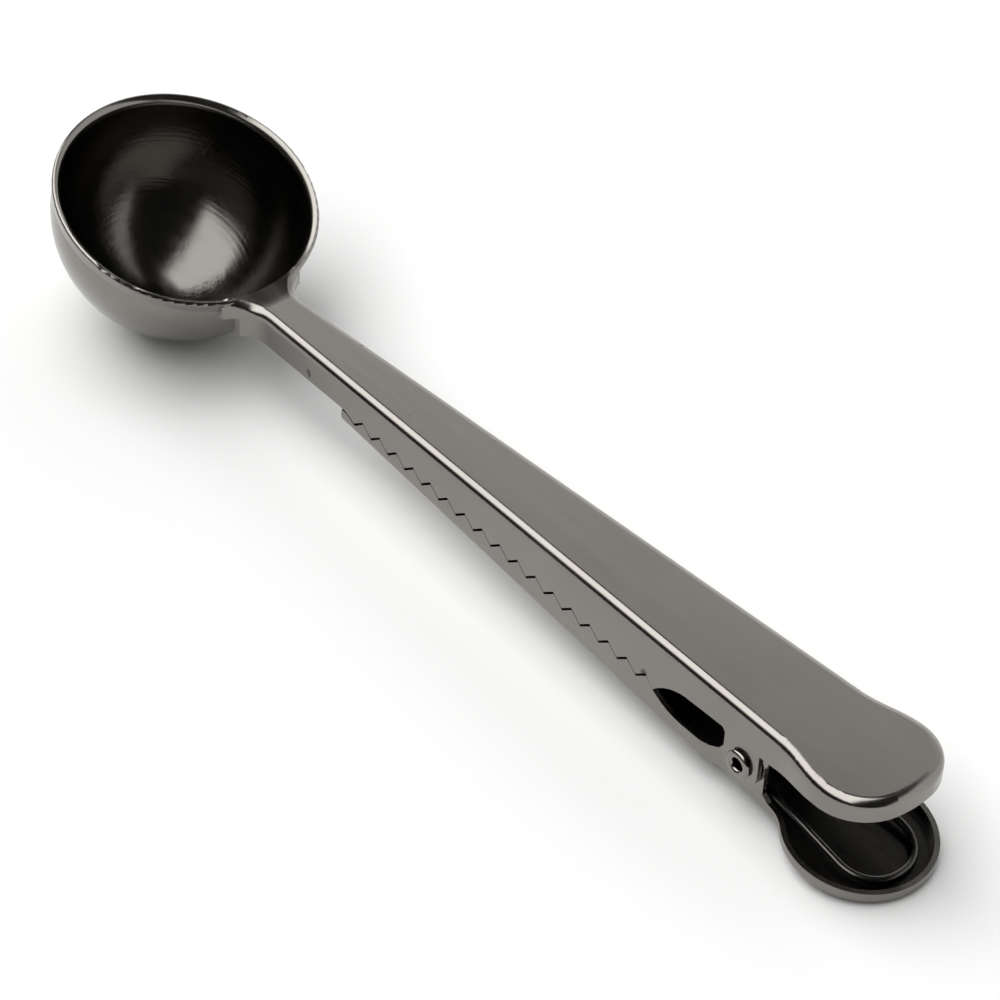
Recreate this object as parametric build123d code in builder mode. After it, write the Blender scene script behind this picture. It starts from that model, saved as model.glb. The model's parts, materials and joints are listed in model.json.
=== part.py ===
"""A coffee scoop whose handle is a spring bag clip: one pressed scoop and handle, a clamp lever
under it, a hollow rivet that joins them, and a double torsion spring wound round the rivet.

Millimetres. +X runs along the handle from the bowl to the thumb end, +Z is up, and the object
stands on Z = 0 on the bottom of its bowl and the end of its thumb pan."""
import os
from math import atan2, cos, degrees, radians, sin, sqrt

from build123d import *

os.makedirs("parts", exist_ok=True)

# ---- driving dimensions -------------------------------------------------------------------
sheet = 0.8  # thickness of the pressed steel

# where the handle's flat top meets the bowl's rim, and how the handle climbs from there
neck_x = -48.2887
neck_z = 16.6335
handle_rise = 0.747  # degrees

# bowl
rim_radius = 21.0
rim_pitch = 18.25  # degrees between the bowl's rim and the handle's flat top
neck_reach = 22.4  # from the rim's centre to the neck
rim_height = 2.2  # the flared band round the rim
rim_flare = 0.35  # how far the band leans out over its height
rim_step = 0.15  # the bowl is this much smaller than the foot of the band
rim_lip = 0.45  # radius of the lip's outside edge
rim_mouth = 1.5  # radius that opens the mouth
bowl_radius = rim_radius - rim_flare - rim_step
bowl_wall_height = 3.0098  # from the rim's top down to where the half round starts
bowl_sheet = 0.9

# handle plan: half widths of a straight taper, then a flared, rounded tail
neck_half_width = 3.55
taper = 0.041
neck_fillet = 6.0
flare_start = 118.0
tail_half_width = 10.2
tail_corner = 8.2
tail_end = 137.0
tail_end_radius = 20.0
top_bend = 1.4  # outside radius where the top turns down into the side walls
neck_bend = 8.0
neck_wall_y = 5.4  # the side walls turn out as far as this at the bowl
neck_end = 3.0  # distance along the handle where the neck's arcs end
inside_bowl = -9.0  # the channel is drawn on to here, and then cut by the bowl
before_bowl = -20.0

# side walls of the handle, measured down from its flat top
wall_depth = 5.35
tail_skirt = 3.4
ear_neck = -5.9  # height at which the ears leave the walls
skirt_start = 117.0  # the side walls rise from here, behind the ears
skirt_end = 127.0  # to here, where the tail's skirt begins
skirt_end_v = -3.9
past_tail = 145.0  # anywhere beyond the tail
front_wall = 22.7  # the plain wall's end, ahead of the first tooth

# the opening between the jaws, in front of the hinge: D shaped above, flatter below
opening_front = (93.6, -9.1)
opening_shoulder = (97.0, -6.55)
opening_top = (101.5, -5.6)
opening_back = (107.9, -5.3)
lever_opening_front = (93.8, -9.35)
lever_opening_shoulder = (96.4, -10.55)
lever_opening_low = (99.8, -11.1)
lever_opening_back = (105.4, -11.1)
lever_opening_rise = (106.9, -10.6)

# jaw teeth
tooth_pitch = 4.055
tooth_count = 17
tooth_height = 1.6
first_root = 24.9  # distance along the handle of the first tooth tip
tooth_line = -5.55  # height of the teeth's mid line there
tooth_fall = 0.0394  # and how fast it falls towards the tail
mesh_shift = 0.18  # the lever's teeth sit this far back
mesh_gap = 0.34  # and this far below

# hinge
pivot_x = 112.0
pivot_v = -9.1
outer_ear = 3.5
inner_ear = 4.0
ear_gap = 0.15  # side clearance between the ears
rivet_radius = 1.75
rivet_bore = 1.15
rivet_clearance = 0.05
rivet_lip = 2.2
rivet_lip_height = 0.8
rivet_stand_out = 0.85
rivet_crown = 1.65  # radius of the rolled lip's highest ring
rivet_mouth = 1.0  # the lip turns in to this radius
rivet_throat = 1.1  # depth at which the bore is straight

# lever
jaw_tip = 21.8
jaw_lead = 1.1  # plain edge ahead of the lever's first tooth
lever_slope = 0.0787
lever_base = -8.25  # height of the lever's underside at lever_base_x
lever_base_x = 24.5
tip_round = 0.6  # corner cut off the tip
pan_start = 109.0  # the underside falls faster from here to the end of the pan
pan_slope = 0.1227
joggle_start = 103.5
joggle_end = 107.0
joggle_round = 4.0
pan_neck = 6.0  # the straight walls go on to this far short of the pan's centre
pan_shoulder = 1.2  # length of the step down from the inner ears to the pan's rim
pan_shoulder_rise = 0.9
pan_radius = 11.2
pan_x = 127.9
pan_wall = 2.35
pan_fillet = 6.0
pan_bend = 1.2

# spring
wire = 1.2
coil_radius = 2.9
coil_outer_y = 5.6
coil_inner_y = 1.9
coil_turns = 2
u_half_width = 6.2
u_end = 136.0
u_end_v = -16.75
u_corner = 5.7
free_leg_end = 124.0
free_leg_slope = 20.8  # degrees

# ---- working planes -----------------------------------------------------------------------
rise = radians(handle_rise)
along = Vector(cos(rise), 0, sin(rise))
upward = Vector(-sin(rise), 0, cos(rise))
neck = Vector(neck_x, 0, neck_z)
deck = Plane(origin=neck, x_dir=along, z_dir=upward)  # the handle's flat top
side = Plane(origin=neck, x_dir=along, z_dir=(0, -1, 0))  # (distance along, height)

rim_slope = radians(handle_rise - rim_pitch)
rim_along = Vector(cos(rim_slope), 0, sin(rim_slope))
rim_up = Vector(-sin(rim_slope), 0, cos(rim_slope))
rim_centre = neck - rim_along * neck_reach
rim_section = Plane(origin=rim_centre, x_dir=rim_along, z_dir=(0, -1, 0))
rim_axis = Axis(rim_centre, rim_up)

slope = radians(handle_rise) - atan2(lever_slope, 1)
lever_along = Vector(cos(slope), 0, sin(slope))
lever_up = Vector(-sin(slope), 0, cos(slope))
lever_stretch = sqrt(1 + lever_slope**2)  # length along the lever per length along the handle


def place(distance, height, y=0.0):
    """A point given by its distance along the handle, its height over the flat top, and y."""
    return neck + along * distance + upward * height + Vector(0, y, 0)


def half_width(distance):
    """Half of the handle's straight tapered width."""
    return neck_half_width + taper * distance


def base_height(distance):
    """Height of the lever's underside."""
    height = lever_base - lever_slope * (min(distance, pan_start) - lever_base_x)
    return height - pan_slope * max(distance - pan_start, 0)


def tooth_points(shift_x, shift_v):
    """The zigzag between the jaws, from the first tooth to the last."""
    points = []
    for step in range(2 * tooth_count):
        x = first_root + step * tooth_pitch / 2
        swing = -tooth_height / 2 if step % 2 == 0 else tooth_height / 2
        mid = tooth_line - tooth_fall * (x - first_root)
        points.append((x + shift_x, mid + swing + shift_v))
    return points


lever_plan = Plane(origin=place(0, base_height(0)), x_dir=lever_along, z_dir=lever_up)
pivot = place(pivot_x, pivot_v)
hole_radius = rivet_radius + rivet_clearance
reach = 60.0  # longer than any cut has to be

# ---- bowl, rim and handle: one pressing ---------------------------------------------------
def handle_outline(inset):
    """The handle's plan, drawn inset inside its outside walls, as a closed line."""
    end_radius = tail_end_radius - inset
    corner = tail_corner - inset
    end_centre = tail_end - tail_end_radius
    corner_y = tail_half_width - tail_corner
    # the tail's end arc and corner arc meet on the line through their centres
    corner_x = end_centre + sqrt((end_radius - corner) ** 2 - corner_y**2)
    end_angle = degrees(atan2(corner_y, corner_x - end_centre))
    # the neck's arc touches the bowl's rim
    neck_arc = neck_fillet + inset
    arc_y = half_width(neck_end) + neck_fillet
    arc_x = sqrt((rim_radius + neck_fillet) ** 2 - arc_y**2) - neck_reach
    turn = degrees(atan2(arc_x + neck_reach, arc_y)) + degrees(atan2(taper, 1))
    root = Vector(arc_x + neck_arc * taper, arc_y - neck_arc)
    with BuildLine() as outline:
        neck_side = JernArc(root, (-1, -taper), neck_arc, -turn)
        inner = Line(neck_side @ 1, (inside_bowl, (neck_side @ 1).Y))
        Line(inner @ 1, (inside_bowl, 0))
        straight = Line(root, (flare_start, half_width(flare_start) - inset))
        flare = Spline(
            straight @ 1,
            (corner_x, corner_y + corner),
            tangents=[(1, taper), (1, 0)],
        )
        round_corner = JernArc(flare @ 1, (1, 0), corner, end_angle - 90)
        JernArc(round_corner @ 1, round_corner % 1, end_radius, -end_angle)
        mirror(about=Plane.XZ)
    return outline.line


def top_line(inset):
    """Corners of the handle's top line, from inside the bowl to the bend at the neck."""
    fall = radians(rim_pitch)
    drop = Vector(-inset * sin(fall), -inset * cos(fall))
    tangent = neck_bend * sin(fall / 2) / cos(fall / 2)
    down = Vector(cos(fall), -sin(fall))
    return down * inside_bowl + drop, down * -tangent + drop, down, Vector(tangent, -inset)


def handle_side():
    """The handle seen from its side: top line, tail skirt, ear, jaw teeth and front wall."""
    start, bend_start, down, bend_end = top_line(0)
    with BuildLine() as profile:
        Line(start, bend_start)
        JernArc(bend_start, down, neck_bend, rim_pitch)
        Polyline(
            bend_end,
            (past_tail, 0),
            (past_tail, -tail_skirt),
            (tail_end, -tail_skirt),
            (skirt_end, skirt_end_v),
            (skirt_start, -wall_depth),
            (pivot_x + outer_ear, -wall_depth),
            (pivot_x + outer_ear, pivot_v),
        )
        ThreePointArc(
            (pivot_x + outer_ear, pivot_v),
            (pivot_x, pivot_v - outer_ear),
            (pivot_x - outer_ear, pivot_v),
        )
        Polyline(
            (pivot_x - outer_ear, pivot_v),
            (pivot_x - outer_ear, ear_neck),
            opening_back,
            opening_top,
        )
        ThreePointArc(opening_top, opening_shoulder, opening_front)
        Polyline(
            opening_front,
            *reversed(tooth_points(0, 0)),
            (front_wall, -wall_depth),
            (inside_bowl, -wall_depth),
            start,
        )
    return profile.line


def handle_hollow_side():
    """The space under the handle's top, seen from its side."""
    start, bend_start, down, bend_end = top_line(sheet)
    with BuildLine() as profile:
        Line(start, bend_start)
        JernArc(bend_start, down, neck_bend + sheet, rim_pitch)
        Polyline(bend_end, (past_tail, -sheet), (past_tail, -reach), (before_bowl, -reach), start)
    return profile.line


def top_edges(block, plane, low, high):
    """Edges that run along the block between two heights over a plane."""
    found = ShapeList()
    for edge in block.edges():
        middle = plane.to_local_coords(edge.center())
        if low < middle.Z < high and abs(middle.Y) > 0.1:
            found.append(edge)
    return found


with BuildPart() as handle_block:
    with BuildSketch(deck.offset(10)):
        add(make_face(handle_outline(0)))
    extrude(amount=-30)
    with BuildSketch(side):
        add(make_face(handle_side()))
    extrude(amount=reach, both=True, mode=Mode.INTERSECT)
    fillet(top_edges(handle_block.part, deck, -0.01, 3.5), top_bend)
    # past the neck's arcs only the rim's band goes on, so the walls end in a notch on each side
    with BuildSketch(deck.offset(-rim_height)):
        for hand in (-1, 1):
            with Locations((inside_bowl / 2, hand * (neck_wall_y + reach / 2))):
                Rectangle(-inside_bowl, reach)
    extrude(amount=-reach, mode=Mode.SUBTRACT)

with BuildPart() as handle_hollow:
    with BuildSketch(deck.offset(10)):
        add(make_face(handle_outline(sheet)))
    extrude(amount=-60)
    with BuildSketch(side):
        add(make_face(handle_hollow_side()))
    extrude(amount=reach, both=True, mode=Mode.INTERSECT)
    fillet(top_edges(handle_hollow.part, deck, -sheet - 0.01, 3.5), top_bend - sheet)

# bowl section, as (radius, height over the rim): a flared band, then a half round bottom
bowl_inner = bowl_radius - bowl_sheet
band_foot = rim_radius - rim_flare
wall_middle = bowl_radius - bowl_sheet / 2

with BuildPart() as bowl_space:
    with BuildSketch(rim_section):
        with BuildLine():
            bottom = CenterArc((0, -bowl_wall_height), wall_middle, -90, 90)
            Polyline(bottom @ 1, (wall_middle, reach), (0, reach), bottom @ 0)
        make_face()
    revolve(axis=rim_axis)

with BuildPart() as scoop_handle:
    add(handle_block.part)
    add(handle_hollow.part, mode=Mode.SUBTRACT)
    add(bowl_space.part, mode=Mode.SUBTRACT)
    with BuildSketch(rim_section):
        with BuildLine():
            outside = CenterArc((0, -bowl_wall_height), bowl_radius, -90, 90)
            band = Polyline(
                outside @ 1,
                (bowl_radius, -rim_height - rim_step),
                (band_foot, -rim_height),
                (rim_radius, -rim_lip),
            )
            JernArc(band @ 1, (0, 1), rim_lip, 90)
            inside = CenterArc((0, -bowl_wall_height), bowl_inner, -90, 90)
            Line(inside @ 1, (bowl_inner, -rim_mouth))
            RadiusArc((bowl_inner, -rim_mouth), (rim_radius - rim_lip, 0), rim_mouth)
            Line(inside @ 0, outside @ 0)
        make_face()
    revolve(axis=rim_axis)
    # the rivet's holes through both ears
    with Locations(Plane(origin=pivot, z_dir=(0, -1, 0))):
        Cylinder(hole_radius, reach, mode=Mode.SUBTRACT)
scoop_handle.part.label = "scoop_handle"
export_step(scoop_handle.part, "parts/scoop_handle.step")

# ---- lever: toothed channel, inner ears and thumb pan -------------------------------------
ear_step = sheet + ear_gap  # how far the lever narrows to pass inside the handle's ears


def lever_half():
    """Half of the channel's plan: straight jaw, step inward, and straight on into the pan."""
    points = [
        (jaw_tip - 1, half_width(jaw_tip - 1)),
        (joggle_start, half_width(joggle_start)),
        (joggle_end, half_width(joggle_end) - ear_step),
        (pan_x - pan_neck, half_width(pan_x - pan_neck) - ear_step),
    ]
    return [(x * lever_stretch, y) for x, y in points]


def lever_outline():
    """Face of the lever's plan, with the pan's hollow shoulders rounded."""
    half = lever_half()
    mirrored = [(x, -y) for x, y in reversed(half)]
    with BuildSketch() as outline:
        with BuildLine():
            Polyline(*half, *mirrored, half[0])
        make_face()
        with Locations((pan_x * lever_stretch, 0)):
            Circle(pan_radius)
        shoulders = outline.vertices().filter_by(lambda v: 110 < v.X < 125)
        fillet(shoulders, pan_fillet)
        steps = outline.vertices().filter_by(lambda v: 100 < v.X < 109)
        fillet(steps, joggle_round)
    return outline.sketch


def lever_side():
    """The lever seen from its side: teeth, inner ear, pan rim and underside."""
    teeth = tooth_points(mesh_shift, -mesh_gap)
    rim_start = pivot_x + inner_ear + pan_shoulder
    end = past_tail
    with BuildLine() as profile:
        Polyline(
            (jaw_tip, base_height(jaw_tip) + tip_round),
            (jaw_tip, -wall_depth - mesh_gap),
            (jaw_tip + jaw_lead, -wall_depth - mesh_gap),
            *teeth,
            lever_opening_front,
        )
        ThreePointArc(lever_opening_front, lever_opening_shoulder, lever_opening_low)
        Polyline(
            lever_opening_low,
            lever_opening_back,
            lever_opening_rise,
            (pivot_x - inner_ear, pivot_v),
        )
        ThreePointArc(
            (pivot_x - inner_ear, pivot_v),
            (pivot_x, pivot_v + inner_ear),
            (pivot_x + inner_ear, pivot_v),
        )
        Polyline(
            (pivot_x + inner_ear, pivot_v),
            (pivot_x + inner_ear, base_height(rim_start) + pan_wall + pan_shoulder_rise),
            (rim_start, base_height(rim_start) + pan_wall),
            (end, base_height(end) + pan_wall),
            (end, base_height(end)),
            (pan_start, base_height(pan_start)),
            (jaw_tip + tip_round, base_height(jaw_tip + tip_round)),
            (jaw_tip, base_height(jaw_tip) + tip_round),
        )
    return profile.line


def lever_hollow_side():
    """The space above the lever's floor, seen from its side."""
    with BuildLine() as profile:
        Polyline(
            (jaw_tip - 5, base_height(jaw_tip - 5) + sheet),
            (pan_start, base_height(pan_start) + sheet),
            (past_tail, base_height(past_tail) + sheet),
            (past_tail, reach),
            (jaw_tip - 5, reach),
            close=True,
        )
    return profile.line


def base_edges(block, offset_up):
    """Edges along the underside of the lever, raised by offset_up."""
    found = ShapeList()
    for edge in block.edges():
        middle = side.to_local_coords(edge.center())
        level = base_height(middle.X) + offset_up
        if abs(middle.Y - level) < 0.05 and abs(middle.Z) > 0.5 and middle.X > jaw_tip:
            found.append(edge)
    return found


with BuildPart() as lever_block:
    with BuildSketch(lever_plan.offset(-6)):
        add(lever_outline())
    extrude(amount=30)
    with BuildSketch(side):
        add(make_face(lever_side()))
    extrude(amount=reach, both=True, mode=Mode.INTERSECT)
    fillet(base_edges(lever_block.part, 0), pan_bend)

with BuildPart() as lever_hollow:
    with BuildSketch(lever_plan.offset(-6)):
        add(lever_outline())
        offset(amount=-sheet, mode=Mode.REPLACE)
    extrude(amount=60)
    with BuildSketch(side):
        add(make_face(lever_hollow_side()))
    extrude(amount=reach, both=True, mode=Mode.INTERSECT)

with BuildPart() as clamp_lever:
    add(lever_block.part)
    add(lever_hollow.part, mode=Mode.SUBTRACT)
    with Locations(Plane(origin=pivot, z_dir=(0, -1, 0))):
        Cylinder(hole_radius, reach, mode=Mode.SUBTRACT)
clamp_lever.part.label = "clamp_lever"
export_step(clamp_lever.part, "parts/clamp_lever.step")

# ---- hollow rivet -------------------------------------------------------------------------
rivet_end = half_width(pivot_x) + rivet_stand_out
lip_middle = rivet_end - rivet_lip_height / 2
with BuildPart() as pivot_rivet:
    with BuildSketch(Plane(origin=pivot, x_dir=along, z_dir=upward)):
        with BuildLine():
            Polyline(
                (rivet_radius, 0),
                (rivet_radius, rivet_end - rivet_lip_height),
                (rivet_lip, lip_middle),
            )
            ThreePointArc(
                (rivet_lip, lip_middle),
                (rivet_crown, rivet_end),
                (rivet_mouth, lip_middle),
            )
            Polyline(
                (rivet_mouth, lip_middle),
                (rivet_bore, rivet_end - rivet_throat),
                (rivet_bore, 0),
            )
            mirror(about=Plane.XZ)
        make_face()
    revolve(axis=Axis(pivot, (0, 1, 0)))
pivot_rivet.part.label = "pivot_rivet"
export_step(pivot_rivet.part, "parts/pivot_rivet.step")

# ---- double torsion spring ----------------------------------------------------------------
u_start_angle = degrees(atan2(u_end_v - pivot_v + coil_radius, u_end - pivot_x))
for step in range(3):  # the leg runs off the bottom of the coil at its own slope
    leaving = radians(u_start_angle - 90)
    leave_x = pivot_x + coil_radius * cos(leaving)
    leave_v = pivot_v + coil_radius * sin(leaving)
    u_start_angle = degrees(atan2(u_end_v - leave_v, u_end - leave_x))
coil_start = 90 + free_leg_slope
coil_sweep = 270 + u_start_angle - coil_start + 360 * coil_turns
coil_length = coil_outer_y - coil_inner_y
coil_pitch = coil_length / (coil_sweep / 360)
leg_angle = radians(u_start_angle)
u_plane = Plane(
    origin=place(leave_x, leave_v),
    x_dir=along * cos(leg_angle) + upward * sin(leg_angle),
    z_dir=upward * cos(leg_angle) - along * sin(leg_angle),
)
u_length = sqrt((u_end - leave_x) ** 2 + (u_end_v - leave_v) ** 2)
free_angle = radians(coil_start)
free_start = (pivot_x + coil_radius * cos(free_angle), pivot_v + coil_radius * sin(free_angle))
free_run = (free_leg_end - free_start[0]) / cos(radians(free_leg_slope))
free_dir = along * cos(radians(free_leg_slope)) + upward * sin(radians(free_leg_slope))

# one length of wire: free leg, coil, the U in the pan, then the other coil and free leg
with BuildLine(u_plane) as u_path:
    FilletPolyline(
        (0, -coil_outer_y),
        (u_length, -u_half_width),
        (u_length, u_half_width),
        (0, coil_outer_y),
        radius=u_corner,
    )
spring_edges = list(u_path.line.edges())
for hand in (-1, 1):
    coil_origin = place(pivot_x, pivot_v, hand * coil_inner_y)
    start_out = along * cos(free_angle) + upward * sin(free_angle)
    coil_plane = Plane(origin=coil_origin, x_dir=start_out, z_dir=(0, hand, 0))
    helix = Edge.make_helix(coil_pitch, coil_length, coil_radius, lefthand=hand > 0)
    coil = coil_plane.location * helix
    free_leg = Edge.make_line(coil @ 0 + free_dir * free_run, coil @ 0)
    spring_edges = spring_edges + [coil, free_leg]
spring_path = Wire(spring_edges)

with BuildPart() as torsion_spring:
    with BuildSketch(Plane(origin=spring_path @ 0, z_dir=spring_path % 0)):
        Circle(wire / 2)
    sweep(path=spring_path, is_frenet=True, transition=Transition.RIGHT)
torsion_spring.part.label = "torsion_spring"
export_step(torsion_spring.part, "parts/torsion_spring.step")
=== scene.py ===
"""Looks of the sprung bag clip scoop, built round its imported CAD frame. Metres throughout."""
import json

from math import atan2, cos, pi, radians, sin

import bmesh
import bpy
from mathutils import Matrix, Vector


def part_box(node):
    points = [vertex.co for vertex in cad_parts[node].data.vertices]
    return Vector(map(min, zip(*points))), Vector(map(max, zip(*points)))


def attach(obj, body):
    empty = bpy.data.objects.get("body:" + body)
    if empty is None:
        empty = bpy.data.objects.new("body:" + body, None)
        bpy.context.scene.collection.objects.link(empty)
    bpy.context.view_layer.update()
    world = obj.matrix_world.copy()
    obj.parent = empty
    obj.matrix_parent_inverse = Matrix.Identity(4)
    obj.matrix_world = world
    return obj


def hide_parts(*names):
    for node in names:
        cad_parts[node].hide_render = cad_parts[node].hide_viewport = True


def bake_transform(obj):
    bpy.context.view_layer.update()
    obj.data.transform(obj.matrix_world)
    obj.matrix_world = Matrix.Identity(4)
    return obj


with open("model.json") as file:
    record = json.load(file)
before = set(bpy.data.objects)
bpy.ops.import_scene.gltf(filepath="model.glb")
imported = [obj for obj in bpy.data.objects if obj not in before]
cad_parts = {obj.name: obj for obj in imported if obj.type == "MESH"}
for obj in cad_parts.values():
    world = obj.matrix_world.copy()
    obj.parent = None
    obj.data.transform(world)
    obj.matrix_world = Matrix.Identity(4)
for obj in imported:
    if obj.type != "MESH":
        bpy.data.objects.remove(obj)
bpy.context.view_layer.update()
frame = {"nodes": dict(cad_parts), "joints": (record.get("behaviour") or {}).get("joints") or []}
scene = bpy.context.scene
scene.view_settings.view_transform = "Standard"
mm = 0.001


# ---- helpers for materials -----------------------------------------------------------------
# sizes of the finish's patterns, in repeats per metre
cloud_scale = 45.0
patch_scale = 70.0
pit_scale = 330.0
brush_scale = 420.0
marks_scale = 700.0
grain_scale = 800.0
speck_scale = 900.0

# depths of its relief
speck_depth = 0.0005 * mm
brush_depth = 0.0008 * mm
marks_depth = 0.05 * mm
edge_width = 0.09 * mm
pit_colour = [0.03, 0.03, 0.028, 1.0]

# the bowl's polishing rings: drawn out along the ring and close together up the wall
ring_squeeze = 3.2
ring_stretch = 0.10


class Nodes:
    """A node tree whose nodes are made and joined in one call each."""

    def __init__(self, tree):
        self.tree = tree
        tree.nodes.clear()

    def node(self, kind, sockets=None, **settings):
        made = self.tree.nodes.new(kind)
        for key, value in settings.items():
            setattr(made, key, value)
        for key, value in (sockets or {}).items():
            self.put(made.inputs[key], value)
        return made

    def put(self, socket, value):
        if isinstance(value, bpy.types.NodeSocket):
            self.tree.links.new(value, socket)
        else:
            socket.default_value = value

    def remap(self, value, low, high, to_low=0.0, to_high=1.0, smooth=False):
        found = self.node(
            "ShaderNodeMapRange",
            {"Value": value, "From Min": low, "From Max": high, "To Min": to_low, "To Max": to_high},
            interpolation_type="SMOOTHSTEP" if smooth else "LINEAR",
        )
        return found.outputs["Result"]

    def maths(self, operation, first, second=0.0, third=0.0):
        found = self.node("ShaderNodeMath", {0: first, 1: second, 2: third}, operation=operation)
        return found.outputs[0]

    def product(self, *values):
        total = values[0]
        for value in values[1:]:
            total = self.maths("MULTIPLY", total, value)
        return total

    def along(self, vector, direction):
        """How far a vector reaches along a direction."""
        found = self.node("ShaderNodeVectorMath", {0: vector, 1: direction}, operation="DOT_PRODUCT")
        return found.outputs["Value"]

    def offset(self, vector, origin):
        """A vector measured from an origin."""
        found = self.node("ShaderNodeVectorMath", {0: vector, 1: origin}, operation="SUBTRACT")
        return found.outputs[0]

    def mix(self, factor, first, second):
        found = self.node("ShaderNodeMix", {0: factor, 6: first, 7: second}, data_type="RGBA")
        return found.outputs[2]


class Finish(Nodes):
    """A material on the Principled shader."""

    def __init__(self, name):
        self.material = bpy.data.materials.new(name)
        self.material.use_nodes = True
        super().__init__(self.material.node_tree)
        self.shader = self.node("ShaderNodeBsdfPrincipled")
        self.node("ShaderNodeOutputMaterial", {"Surface": self.shader.outputs[0]})
        self.coords = self.node("ShaderNodeTexCoord")

    def noise(self, scale, detail=3.0, roughness=0.5, stretch=(1, 1, 1)):
        mapping = self.node(
            "ShaderNodeMapping",
            {"Vector": self.coords.outputs["Object"], "Scale": stretch},
        )
        found = self.node(
            "ShaderNodeTexNoise",
            {"Vector": mapping.outputs[0], "Scale": scale, "Detail": detail, "Roughness": roughness},
        )
        return found.outputs["Fac"]

    def bump(self, height, distance, strength=1.0, under=None):
        sockets = {"Height": height, "Distance": distance, "Strength": strength}
        if under is not None:
            sockets["Normal"] = under
        return self.node("ShaderNodeBump", sockets).outputs["Normal"]

    def worn_edge(self, radius):
        """1 on a sharp edge and 0 away from it."""
        rounded = self.node("ShaderNodeBevel", {"Radius": radius}, samples=6)
        flat = self.node("ShaderNodeNewGeometry")
        agree = self.node(
            "ShaderNodeVectorMath",
            {0: rounded.outputs["Normal"], 1: flat.outputs["Normal"]},
            operation="DOT_PRODUCT",
        )
        return self.remap(agree.outputs["Value"], 0.995, 0.85)


def plated_steel(name, plating, worn, gloss, inside=None, hollow_painted_shade=0.16, inside_gloss=0.08):
    """Dark nickel plating over polished steel: cloudy, lightly scratched, brighter where rubbed.
    inside, where given, makes a mask of the pressing's hollow side, which is painted darker as painted
    shade, and a height of polishing marks for it."""
    finish = Finish(name)
    cloud = finish.noise(cloud_scale, 4.0, 0.6)
    speck = finish.noise(speck_scale, 2.0, 0.5)
    brushed = finish.noise(brush_scale, 3.0, 0.6, stretch=(0.06, 1.0, 1.0))
    dark = [channel * 0.94 for channel in plating] + [1.0]
    light = [channel * 1.05 for channel in plating] + [1.0]
    shade = finish.mix(finish.remap(cloud, 0.35, 0.65), dark, light)
    pits = finish.remap(finish.noise(pit_scale, 1.0, 0.4), 0.235, 0.215, 0.0, 0.7)
    shade = finish.mix(pits, shade, pit_colour)
    patchy = finish.remap(finish.noise(cloud_scale, 3.0, 0.6), 0.35, 0.7, 0.04, 0.22)
    rubbed = finish.product(finish.worn_edge(edge_width), patchy)
    shade = finish.mix(rubbed, shade, list(worn) + [1.0])
    rough = finish.maths(
        "ADD",
        finish.remap(cloud, 0.3, 0.7, gloss * 0.85, gloss * 1.15),
        finish.remap(brushed, 0.3, 0.7, -0.03, 0.03),
    )
    relief = finish.bump(speck, speck_depth, 0.5, finish.bump(brushed, brush_depth, 0.5))
    if inside is not None:
        hollow, marks = inside(finish)
        # painted shade: the hollow side's colour is darkened to stand in for the shade inside it
        shade = finish.mix(hollow, shade, [channel * hollow_painted_shade for channel in plating] + [1.0])
        rough = finish.maths("MULTIPLY_ADD", hollow, inside_gloss, rough)
        relief = finish.bump(finish.product(hollow, marks), marks_depth, 0.6, relief)
    finish.put(finish.shader.inputs["Base Color"], shade)
    finish.put(finish.shader.inputs["Roughness"], rough)
    finish.shader.inputs["Metallic"].default_value = 1.0
    finish.put(finish.shader.inputs["Normal"], relief)
    return finish.material


gunmetal = (0.232, 0.220, 0.203)
bare_steel = (0.42, 0.40, 0.375)

# the underside of the lever: a point on it and the way it faces up
lever_low, lever_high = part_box("clamp_lever")
floor_point = (lever_high[0], 0.0, lever_low[2])
pan_tilt = radians(6.3)
floor_normal = (sin(pan_tilt), 0.0, cos(pan_tilt))


def lever_hollow(finish):
    """The lever's floor and the inner side of its walls, which are painted near black as painted shade."""
    normal = finish.coords.outputs["Normal"]
    place = finish.coords.outputs["Object"]
    side = finish.maths("SIGN", finish.along(place, (0, 1, 0)))
    inward = finish.remap(finish.product(side, finish.along(normal, (0, -1, 0))), 0.3, 0.5)
    upward = finish.remap(finish.along(normal, (0, 0, 1)), 0.5, 0.7)
    from_floor = finish.offset(place, floor_point)
    low = finish.remap(finish.along(from_floor, floor_normal), 1.9 * mm, 1.4 * mm)
    return finish.maths("MAXIMUM", inward, finish.product(upward, low)), finish.noise(marks_scale, 3.0, 0.6)


def bowl_hollow(finish):
    """The inside of the bowl, painted darker as painted shade, with fine rings from the polishing wheel and
    a rubbed, grainy patch.
    """
    place = finish.coords.outputs["Object"]
    offset = finish.offset(place, bowl_centre)
    reach = finish.node("ShaderNodeVectorMath", {0: offset}, operation="LENGTH").outputs["Value"]
    height = finish.along(offset, bowl_up)
    hollow = finish.product(
        finish.remap(reach, 20.1 * mm, 19.9 * mm), finish.remap(height, 2.2 * mm, 1.6 * mm)
    )
    turned = finish.node(
        "ShaderNodeCombineXYZ",
        {
            "X": finish.maths("MULTIPLY", height, ring_squeeze),
            "Y": finish.along(offset, (0, ring_stretch, 0)),
        },
    )
    rings = finish.node(
        "ShaderNodeTexNoise",
        {"Vector": turned.outputs[0], "Scale": marks_scale, "Detail": 3.0, "Roughness": 0.6},
    ).outputs["Fac"]
    patches = finish.remap(finish.noise(patch_scale, 2.0, 0.5), 0.42, 0.6, 0.3, 1.6)
    grain = finish.product(finish.noise(grain_scale, 4.0, 0.7), patches)
    return hollow, finish.maths("ADD", rings, grain)


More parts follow.
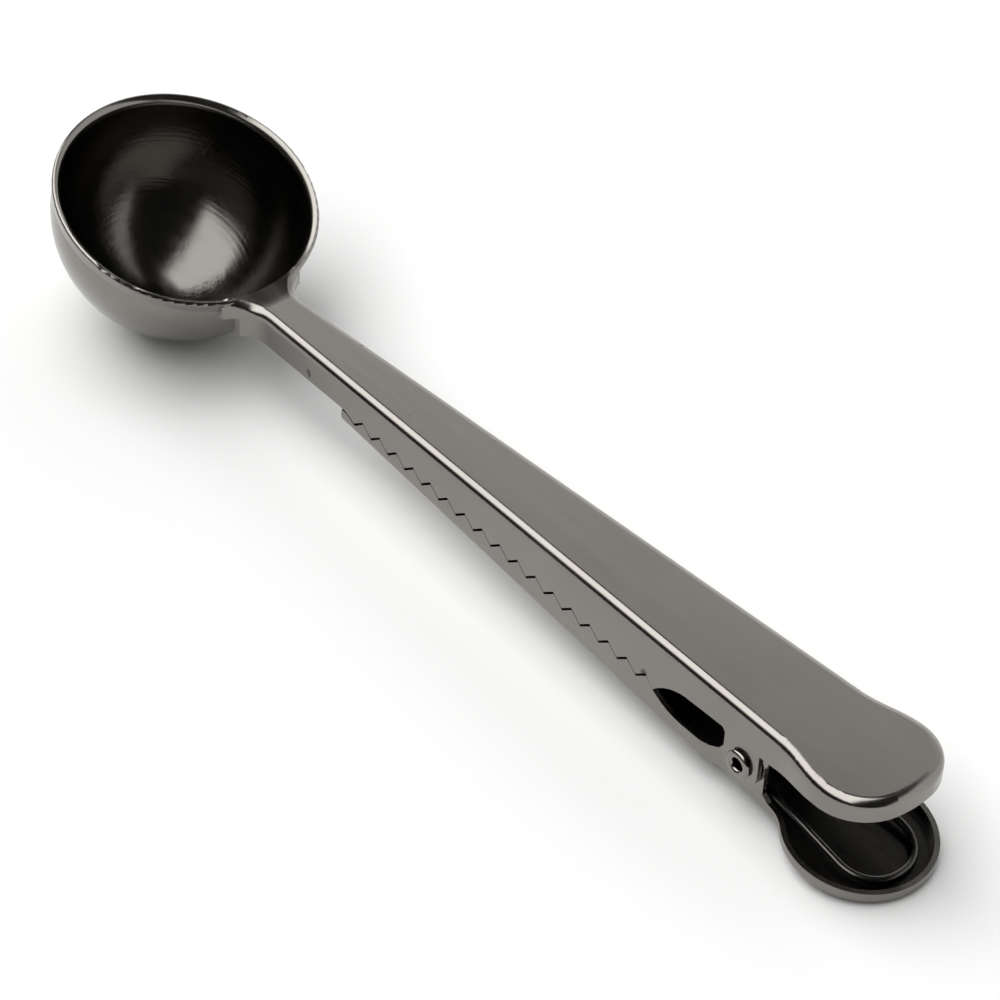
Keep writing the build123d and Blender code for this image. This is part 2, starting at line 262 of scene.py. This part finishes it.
bowl_centre = (-70.55 * mm, 0.0, 20.5 * mm)
bowl_tilt = radians(17.5)
bowl_up = (sin(bowl_tilt), 0.0, cos(bowl_tilt))
# painted shade: the bowl's inside is painted at about half brightness
scoop_plating = plated_steel("scoop_plating", gunmetal, bare_steel, 0.20, bowl_hollow, 0.52, -0.02)
# painted shade: the lever's floor and inner walls are painted near black for the shade in the pan
lever_plating = plated_steel("lever_plating", gunmetal, bare_steel, 0.20, lever_hollow)
rivet_plating = plated_steel("rivet_plating", (0.24, 0.225, 0.21), bare_steel, 0.18)
# painted shade: the wire is a darker copy of the plating, dimming its highlights under the tail
spring_wire = plated_steel("spring_wire", (0.085, 0.081, 0.076), (0.2, 0.19, 0.18), 0.26)

for node, material in (
    ("scoop_handle", scoop_plating),
    ("clamp_lever", lever_plating),
    ("pivot_rivet", rivet_plating),
):
    mesh = frame["nodes"][node].data
    mesh.materials.clear()
    mesh.materials.append(material)


# ---- torsion spring ------------------------------------------------------------------------
wire_radius = 0.6 * mm
coil_radius = 2.9 * mm
coil_inner = 1.9 * mm  # distance of a coil's ends from the middle of the rivet
coil_outer = 5.6 * mm
coil_turns = 2
free_leg_slope = radians(20.8)  # over the line of the handle
free_leg_end = 12.0 * mm  # ahead of the rivet
loop_end = 24.0 * mm
loop_end_height = -7.65 * mm
loop_half_width = 6.2 * mm
loop_corner = 5.7 * mm
handle_rise = radians(0.747)
turn_steps = 32
wire_sides = 20

rivet_centre = Vector(frame["joints"][0]["pos_m"])
to_row = Matrix.Translation(rivet_centre) @ Matrix.Rotation(-handle_rise, 4, "Y")

# the loop's legs leave the bottom of the coils at their own slope
loop_slope = atan2(loop_end_height + coil_radius, loop_end)
for step in range(3):
    leave = Vector((coil_radius * sin(loop_slope), 0.0, -coil_radius * cos(loop_slope)))
    loop_slope = atan2(loop_end_height - leave.z, loop_end - leave.x)
coil_start = pi / 2 + free_leg_slope
coil_sweep = 1.5 * pi + loop_slope - coil_start + 2 * pi * coil_turns


def wire_end(place, heading):
    """A new mesh that holds only the round end of a wire."""
    made = bmesh.new()
    turn = Vector(heading).to_track_quat("Z", "X").to_matrix().to_4x4()
    bmesh.ops.create_circle(
        made, segments=wire_sides, radius=wire_radius, matrix=Matrix.Translation(place) @ turn
    )
    return made, made.edges[:]


def wire_run(made, ends, run):
    """Carries the wire on in a straight line."""
    grown = bmesh.ops.extrude_edge_only(made, edges=ends)["geom"]
    moved = [item for item in grown if isinstance(item, bmesh.types.BMVert)]
    bmesh.ops.translate(made, vec=run, verts=moved)
    return [item for item in grown if isinstance(item, bmesh.types.BMEdge)]


def wire_turn(made, ends, centre, axis, angle, advance=(0, 0, 0)):
    """Carries the wire on round an axis, moving along by advance in all."""
    steps = max(4, round(abs(angle) / (2 * pi) * turn_steps))
    grown = bmesh.ops.spin(
        made, geom=ends, cent=centre, axis=axis, angle=angle, steps=steps,
        dvec=Vector(advance) / steps, use_merge=False,
    )["geom_last"]
    return [item for item in grown if isinstance(item, bmesh.types.BMEdge)]


def wire_piece(name, made):
    """Closes the wire's ends, smooths it and puts it in place round the rivet."""
    open_ends = [edge for edge in made.edges if edge.is_boundary]
    bmesh.ops.holes_fill(made, edges=open_ends, sides=wire_sides)
    bmesh.ops.transform(made, matrix=to_row, verts=made.verts)
    bmesh.ops.recalc_face_normals(made, faces=made.faces)
    for face in made.faces:
        face.smooth = len(face.verts) == 4
    mesh = bpy.data.meshes.new(name)
    made.to_mesh(mesh)
    made.free()
    piece = bpy.data.objects.new(name, mesh)
    scene.collection.objects.link(piece)
    mesh.materials.append(spring_wire)
    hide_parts("torsion_spring")
    return piece


def around_rivet(angle, across):
    return Vector((coil_radius * cos(angle), across, coil_radius * sin(angle)))


free_heading = Vector((cos(free_leg_slope), 0.0, sin(free_leg_slope)))
loop_heading = Vector((cos(loop_slope), 0.0, sin(loop_slope)))
for side, hand in (("near", -1), ("far", 1)):
    start = around_rivet(coil_start, hand * coil_inner)
    free_run = free_heading * ((free_leg_end - start.x) / free_heading.x)
    made, ends = wire_end(start, free_heading)
    wire_run(made, ends, free_run)
    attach(wire_piece(f"spring_free_leg_{side}", made), "scoop")

    made, ends = wire_end(start, around_rivet(coil_start + pi / 2, 0))
    wire_turn(
        made, ends, (0, 0, 0), (0, -1, 0), coil_sweep, (0, hand * (coil_outer - coil_inner), 0)
    )
    coil = wire_piece(f"spring_coil_{side}", made)
    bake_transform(coil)

# the loop: out along the near leg, round its end in the pan, and back along the far leg
loop_length = (Vector((loop_end, 0, loop_end_height)) - leave).length
loop_up = Vector((-sin(loop_slope), 0.0, cos(loop_slope)))
near_start = leave + Vector((0, -coil_outer, 0))
near_corner = leave + loop_heading * (loop_length - loop_corner) + Vector((0, -loop_half_width, 0))
made, ends = wire_end(near_start, near_corner - near_start)
ends = wire_run(made, ends, near_corner - near_start)
bend_centre = near_corner + Vector((0, loop_corner, 0))
ends = wire_turn(made, ends, bend_centre, loop_up, pi / 2)
ends = wire_run(made, ends, (0, 2 * (loop_half_width - loop_corner), 0))
bend_centre = bend_centre + Vector((0, 2 * (loop_half_width - loop_corner), 0))
ends = wire_turn(made, ends, bend_centre, loop_up, pi / 2)
far_corner = near_corner.copy()
far_corner.y = loop_half_width
wire_run(made, ends, leave + Vector((0, coil_outer, 0)) - far_corner)
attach(wire_piece("spring_loop", made), "lever")

# ---- studio --------------------------------------------------------------------------------
ground = bmesh.new()
bmesh.ops.create_grid(ground, x_segments=1, y_segments=1, size=3.0)
floor_mesh = bpy.data.meshes.new("studio_floor")
ground.to_mesh(floor_mesh)
ground.free()
floor = bpy.data.objects.new("studio_floor", floor_mesh)
scene.collection.objects.link(floor)
paper = Finish("studio_paper")
paper.shader.inputs["Base Color"].default_value = (0.80, 0.80, 0.795, 1.0)
paper.shader.inputs["Roughness"].default_value = 0.9
floor_mesh.materials.append(paper.material)


box_lean = 0.42
box_strength = 3.3
room_strength = 0.03
wall_top = 0.78  # the wall fills directions that reach back more than this for each unit up


def studio_room():
    """The light round the table: a wide soft box overhead and to the left, a white wall behind, and a
    dark room. Directions are taken where they cross a level plane one unit up, as across and back."""
    room = bpy.data.worlds.new("studio_room")
    room.use_nodes = True
    sky = Nodes(room.node_tree)
    ray = sky.node("ShaderNodeTexCoord").outputs["Generated"]
    rise = sky.along(ray, (0, 0, 1))
    up = sky.maths("MAXIMUM", rise, 0.02)
    across = sky.maths("DIVIDE", sky.along(ray, (1, 0, 0)), up)
    back = sky.maths("DIVIDE", sky.along(ray, (0, 1, 0)), up)
    over = sky.remap(rise, 0.02, 0.12, smooth=True)
    # the soft box's right edge leans out towards the front
    lean = sky.maths("MULTIPLY_ADD", back, box_lean, across)
    box = sky.product(
        sky.remap(lean, 0.26, 0.0, smooth=True),
        sky.remap(lean, -3.4, -2.4, smooth=True),
        sky.remap(back, 0.40, 0.30, smooth=True),
        sky.remap(sky.maths("MULTIPLY_ADD", across, 0.35, back), -1.7, -0.9, smooth=True),
        over,
    )
    past_wall_top = sky.maths("MULTIPLY_ADD", up, -wall_top, sky.along(ray, (0, 1, 0)))
    wall = sky.remap(past_wall_top, -0.02, 0.02, smooth=True)
    light = sky.maths("MULTIPLY_ADD", box, box_strength, room_strength)
    # the wall is brightest at its two ends
    far_left = sky.remap(across, -0.55, -1.05, 0.78, 1.35)
    far_right = sky.remap(across, 0.1, 0.6, 0.0, 1.0)
    light = sky.maths("MULTIPLY_ADD", wall, sky.maths("MAXIMUM", far_left, far_right), light)
    seen = sky.node("ShaderNodeLightPath").outputs["Is Camera Ray"]
    light = sky.maths("MAXIMUM", light, seen)
    glow = sky.node("ShaderNodeBackground", {"Color": (1.0, 1.0, 1.0, 1.0), "Strength": light})
    sky.node("ShaderNodeOutputWorld", {"Surface": glow.outputs[0]})
    return room


scene.world = studio_room()

# ---- camera --------------------------------------------------------------------------------
camera_data = bpy.data.cameras.new("camera")
camera_data.sensor_width = 36.0
camera_data.lens = 144.0
camera_data.clip_start = 0.01
camera_distance = 0.595
camera_aim = Vector((-0.001288, 0.005575, 0.005168))
camera = bpy.data.objects.new("camera", camera_data)
scene.collection.objects.link(camera)
azimuth = radians(45.817)
elevation = radians(40.482)
roll = radians(4.2126)
away = Vector((sin(azimuth) * cos(elevation), -cos(azimuth) * cos(elevation), sin(elevation)))
camera.location = camera_aim + away * camera_distance
turn = away.to_track_quat("Z", "Y").to_matrix().to_4x4() @ Matrix.Rotation(roll, 4, "Z")
camera.rotation_euler = turn.to_euler()
scene.camera = camera
